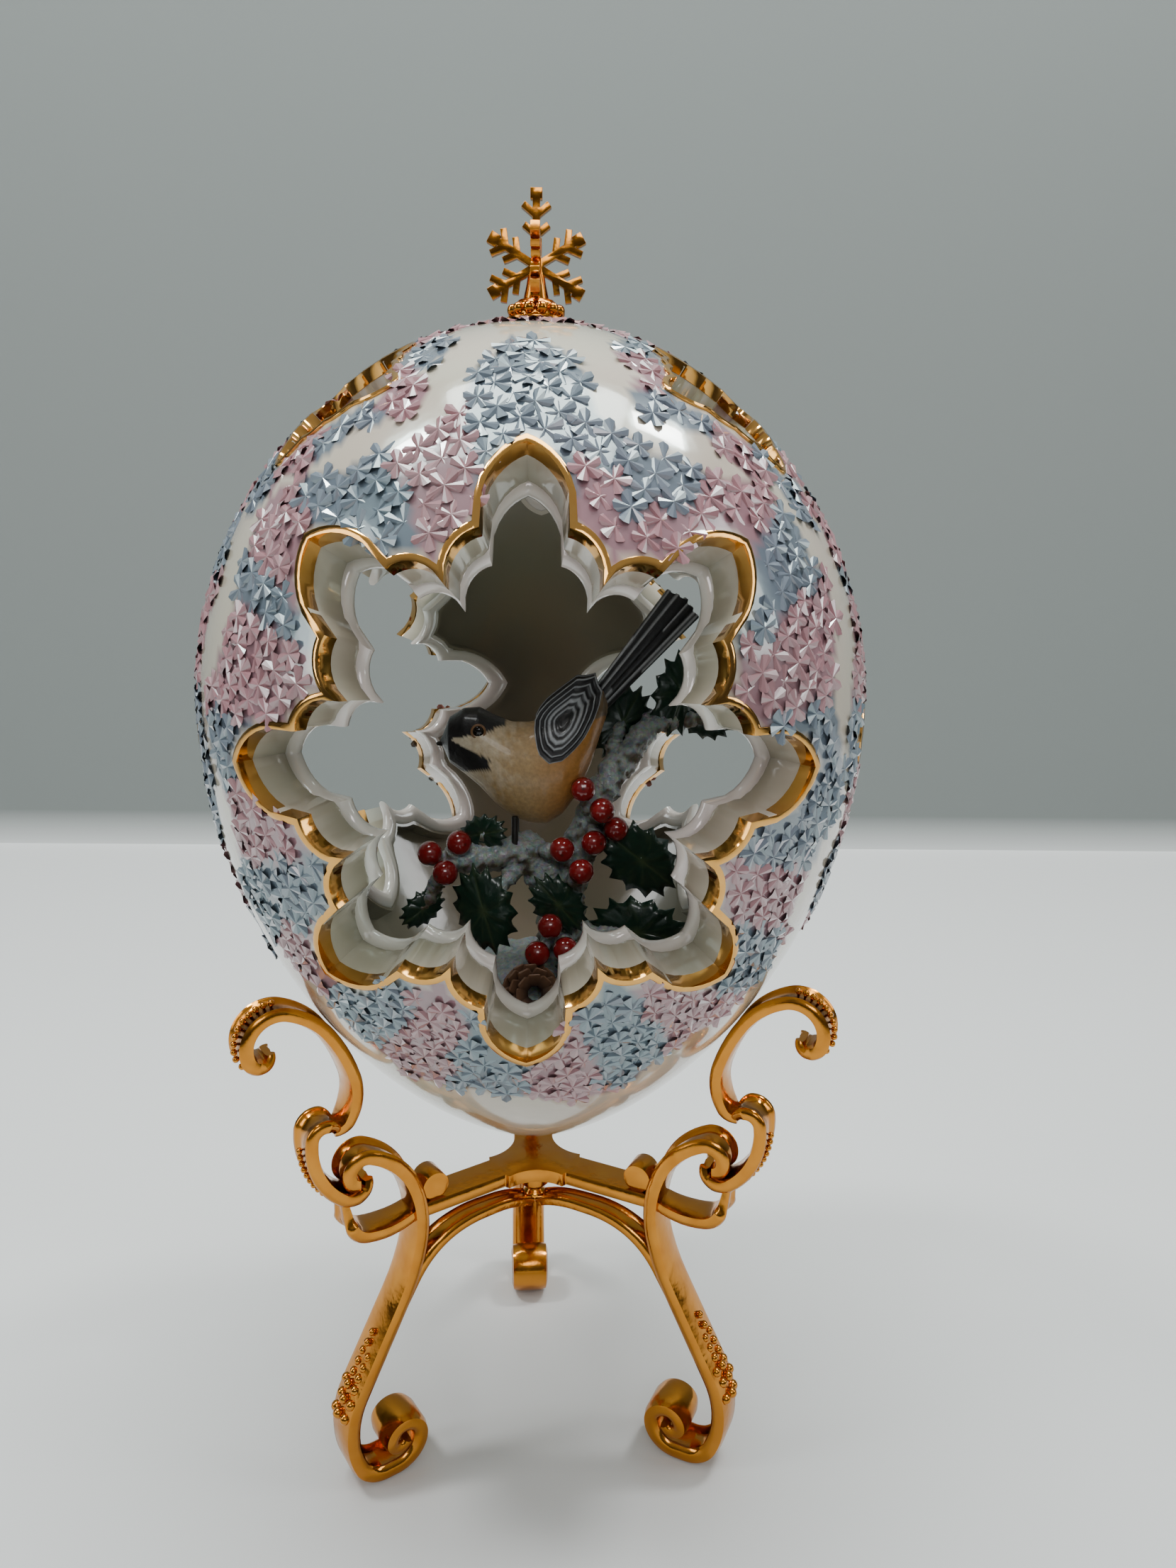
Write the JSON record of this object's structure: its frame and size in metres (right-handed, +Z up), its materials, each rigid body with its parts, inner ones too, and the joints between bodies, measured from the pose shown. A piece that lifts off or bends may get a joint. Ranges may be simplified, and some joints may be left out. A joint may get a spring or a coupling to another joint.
{
  "type": "decorative egg on stand",
  "caption": "Ornamental porcelain egg with pierced star windows, a songbird scene inside and a snowflake finial, resting loose in a three-legged scrolled metal stand.",
  "frame": {"origin": "middle of the object's box at the table top, which is 2.9 mm behind the egg's axis", "axes": "+Z up along the egg's axis, -Y out of the front window"},
  "size_m": [0.1124, 0.1084, 0.2289],
  "materials": {
    "pearl_porcelain": "pearl lustre glaze",
    "gilt": "polished gold plating",
    "steel": "plain",
    "snow": "matt white with a blue shade",
    "leaf_green": "painted, satin",
    "berry_red": "painted, gloss",
    "cone_brown": "painted, satin",
    "bird_buff": "painted, satin",
    "bird_black": "painted, satin"
  },
  "bodies": {
    "stand": {"stand_spider": "gilt", "spider_boss": "gilt", "leg_left": "gilt", "leg_right": "gilt", "leg_rear": "gilt", "middle_scroll_left": "gilt", "middle_scroll_right": "gilt", "middle_scroll_rear": "gilt", "upper_scroll_left": "gilt", "upper_scroll_right": "gilt", "upper_scroll_rear": "gilt", "leaf_left": "gilt", "leaf_right": "gilt", "leaf_rear": "gilt", "brace_left": "gilt", "brace_right": "gilt", "brace_rear": "gilt"},
    "egg": {"egg_shell": "pearl_porcelain", "finial_collar": "gilt", "finial_snowflake": "gilt", "finial_stud": "steel", "finial_washer": "steel", "finial_nut": "steel", "snow_base": "snow", "branch": "snow", "holly_leaves": "leaf_green", "holly_berries": "berry_red", "pine_cone": "cone_brown", "bird_body": "bird_buff", "bird_wings": "bird_black", "bird_tail": "bird_black", "bird_beak": "bird_black", "bird_legs": "cone_brown"}
  },
  "joints": [
    {"name": "egg_lift", "type": "slide", "parent": "stand", "child": "egg", "axis": [0, 0, 1], "range_m": [0, 0.09]}
  ]
}
